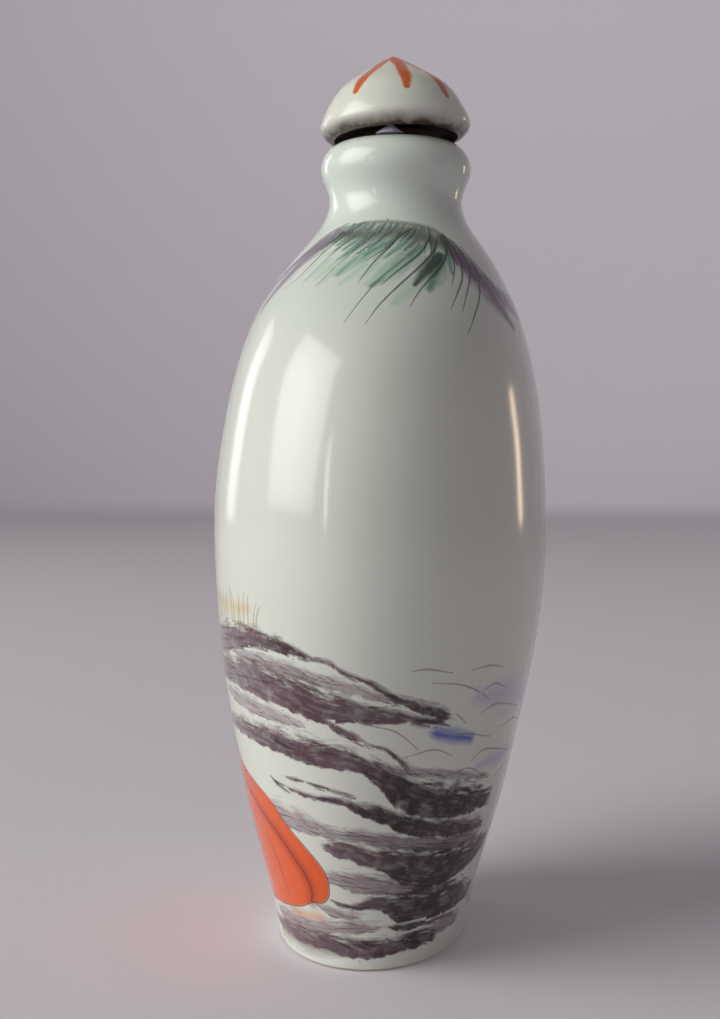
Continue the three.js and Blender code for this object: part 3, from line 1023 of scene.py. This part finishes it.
def makeStopperGlaze():
    g = stopperGlaze
    material, tree, shader = newMaterial("creamGlazedPorcelain")
    here = Value(node(tree, "TexCoord"), "Object")
    upright = tuple(stopperTurn @ Vector((0, 0, 1)))
    off = Value(node(tree, "VectorMath", {"operation": "SUBTRACT"}, in0=here, in1=tuple(stopperPlace)))
    up = Value(node(tree, "VectorMath", {"operation": "DOT_PRODUCT"}, in0=off, in1=upright), "Value")
    far = Value(node(tree, "VectorMath", {"operation": "LENGTH"}, in0=off), "Value")
    out = (far * far - up * up).maths("SQRT")
    low = ramp(up, g["stainFrom"] * mm, g["stainTo"] * mm, 1.0, 0.0)
    grain = (surfaceNoise(here, g["grainSize"], 4.0) - 0.5) * g["stainGrain"] + g["stainTint"]
    stain = low.maths("POWER", g["stainFall"]) * grain
    colour = mixColour(stain.clamped(), g["cream"], g["stain"])
    colour = brushed("petal", colour, *petalBrush)
    past, above = g["dishMargin"]
    within = out.maths("LESS_THAN", (stopper["dishRadius"] + past) * mm)
    dish = within * up.maths("LESS_THAN", (stopper["dishDepth"] + above) * mm)
    # The dish is coloured dark: painted shade for the gap under the stopper.
    colour = mixColour(dish, colour, g["dish"])
    rough = dish * (g["dishRoughness"] - g["roughness"]) + g["roughness"]
    feed(shader, Base_Color=colour, Roughness=rough, IOR=g["refraction"])
    return material


# Cork, seen only in the gap: a fine dull grain of two browns, both darkened as painted shade for the shadow
# in the gap.
cork = {"dark": "#3a2a1f", "light": "#6e5139", "grainSize": 1.1111, "detail": 6.0, "roughness": 0.9}
# Crumpled packing paper, dull and a little lilac: paler and darker where it is creased.
paper = {"dark": "#aaa2b4", "light": "#dcd6e2", "grainSize": 0.5556, "detail": 3.0, "roughness": 0.8}


# A dull material whose grain runs between two colours. The grain's size is in mm.
def makeDull(name, look):
    material, tree, shader = newMaterial(name)
    grain = surfaceNoise(Value(node(tree, "TexCoord"), "Object"), look["grainSize"], look["detail"])
    colour = mixColour(grain, look["dark"], look["light"])
    feed(shader, Base_Color=colour, Roughness=look["roughness"])
    return material


for piece, material, replaced, finish in (
    (bottlePiece, makeGlaze(), "bottle", "glazed_porcelain"),
    (stopperPiece, makeStopperGlaze(), "stopper", "stopper_porcelain"),
    # The cork's browns are darkened as painted shade.
    (plugPiece, makeDull("corkInPaintedShade", cork), "plug", "cork"),
    (wispPiece, makeDull("crumpledPaper", paper), None, "cork"),
):
    piece.data.materials.clear()
    piece.data.materials.append(material)
    if piece in (stopperPiece, plugPiece):
        lean(piece)
    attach(piece, "root")
    if replaced:
        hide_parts(replaced)
print("materials laid on")

# A round pale floor that sweeps up into a wall, alike in every view. Sizes in m.
stage = {"flat": 0.95, "sweep": 0.8, "steps": 12, "wall": 2.2, "segments": 128, "under": 0.00005}
# Its dull pale paper glows a little, as if lit from all over the room.
groundPaper = {"colour": "#d2ccd2", "roughness": 0.9, "glow": "#efe9ef", "glowStrength": 0.07}

selectNone()
bpy.ops.mesh.primitive_circle_add(
    vertices=stage["segments"], radius=stage["flat"], fill_type="NGON", location=(0, 0, -stage["under"]))
bpy.ops.object.mode_set(mode="EDIT")
bpy.ops.mesh.select_mode(type="EDGE")
last = (stage["flat"], 0)
for i in range(1, stage["steps"] + 2):
    turn = math.pi / 2 * min(i / stage["steps"], 1)
    ring = (stage["flat"] + stage["sweep"] * math.sin(turn), stage["sweep"] * (1 - math.cos(turn)))
    if i > stage["steps"]:
        ring = (ring[0], stage["wall"])
    bpy.ops.mesh.extrude_edges_move(TRANSFORM_OT_translate={"value": (0, 0, ring[1] - last[1])})
    size = ring[0] / last[0]
    bpy.ops.transform.resize(value=(size, size, 1), center_override=(0, 0, 0))
    bpy.ops.mesh.select_all(action="DESELECT")
    bpy.ops.mesh.select_non_manifold()
    last = ring
bpy.ops.object.mode_set(mode="OBJECT")
ground = finishPiece("ground")
g = groundPaper
material, _, shader = newMaterial("paleGround")
feed(shader, Base_Color=g["colour"], Roughness=g["roughness"])
feed(shader, Emission_Color=g["glow"], Emission_Strength=g["glowStrength"])
ground.data.materials.append(material)

# Lamps: direction round the bottle and up in degrees (0 is +X), distance, width and height in mm, spread in
# degrees, watts and colour. All face the middle of the bottle, but the backdrop's faces the wall behind it.
# The wide window lights it, and the others leave narrow glints.
lamps = {
    "window": (-66, 28, 912, 798, 870, 90, 2.7, "#fbfcf7"),
    "windowSide": (-128, 12, 817, 160, 456, 60, 0.055, "#ffffff"),
    "windowGap": (-32, 10, 817, 38, 323, 60, 0.03, "#ffffff"),
    "warmGap": (133, 3, 817, 52, 215, 60, 0.022, "#ffe2bd"),
    "backdrop": (180, 48, 420, 700, 300, 130, 5.2, "#ffffff"),
}
lampMiddle = (0, 0, 38)  # mm, where the lamps face
wallAim = (-1, 0, 0.42)  # the way the backdrop's lamp faces
room = {"colour": "#e8e6e8", "strength": 0.06}

for name, (turn, up, distance, width, height, spread, power, colour) in lamps.items():
    light = bpy.data.lights.new(name, "AREA")
    light.shape = "RECTANGLE"
    light.size, light.size_y = width * mm, height * mm
    light.spread = math.radians(spread)
    light.energy = power
    light.color = linear(colour)[:3]
    lamp = bpy.data.objects.new(name, light)
    bpy.context.collection.objects.link(lamp)
    turn, up = math.radians(turn), math.radians(up)
    away = Vector((math.cos(up) * math.cos(turn), math.cos(up) * math.sin(turn), math.sin(up)))
    lamp.location = (Vector(lampMiddle) + away * distance) * mm
    aim = Vector(wallAim) if name == "backdrop" else -away
    lamp.rotation_euler = aim.to_track_quat("-Z", "Y").to_euler()
world = bpy.data.worlds.new("room")
bpy.context.scene.world = world
world.use_nodes = True
feed(world.node_tree.nodes["Background"], Color=room["colour"], Strength=room["strength"])

# The camera of the photograph, in front of the narrow edge. Lengths are in mm but where it says pixels.
view = {
    "azimuth": 96,  # degrees, 90 looks along -X
    "distance": 126.73, "height": 42.84,
    "pitch": 2.954,  # degrees down
    "aside": 20.96,  # pixels from the middle of the frame to the bottle's axis
    "focal": 1463.2,  # pixels
    "frameHeight": 1019,  # pixels
    "axisDrift": -0.145, "sensor": 36,
}

turn = math.radians(view["azimuth"])
data = bpy.data.cameras.new("photoCamera")
camera = bpy.data.objects.new("photoCamera", data)
bpy.context.collection.objects.link(camera)
data.sensor_width = view["sensor"]
data.lens = view["sensor"] * view["focal"] / view["frameHeight"]
data.clip_start, data.clip_end = 0.005, 20
ahead = Vector((-math.sin(turn), math.cos(turn), 0))
right = Vector((math.cos(turn), math.sin(turn), 0))
camera.location = (-ahead * view["distance"] + Vector((0, view["axisDrift"], view["height"]))) * mm
swing = -math.atan(view["aside"] / view["focal"])
level = ahead * math.cos(swing) + right * math.sin(swing)
pitch = math.radians(view["pitch"])
look = level * math.cos(pitch) - Vector((0, 0, 1)) * math.sin(pitch)
camera.rotation_euler = look.to_track_quat("-Z", "Y").to_euler()
bpy.context.scene.camera = camera
bpy.context.scene.view_settings.view_transform = "Standard"
print("ground, lamps and camera set")
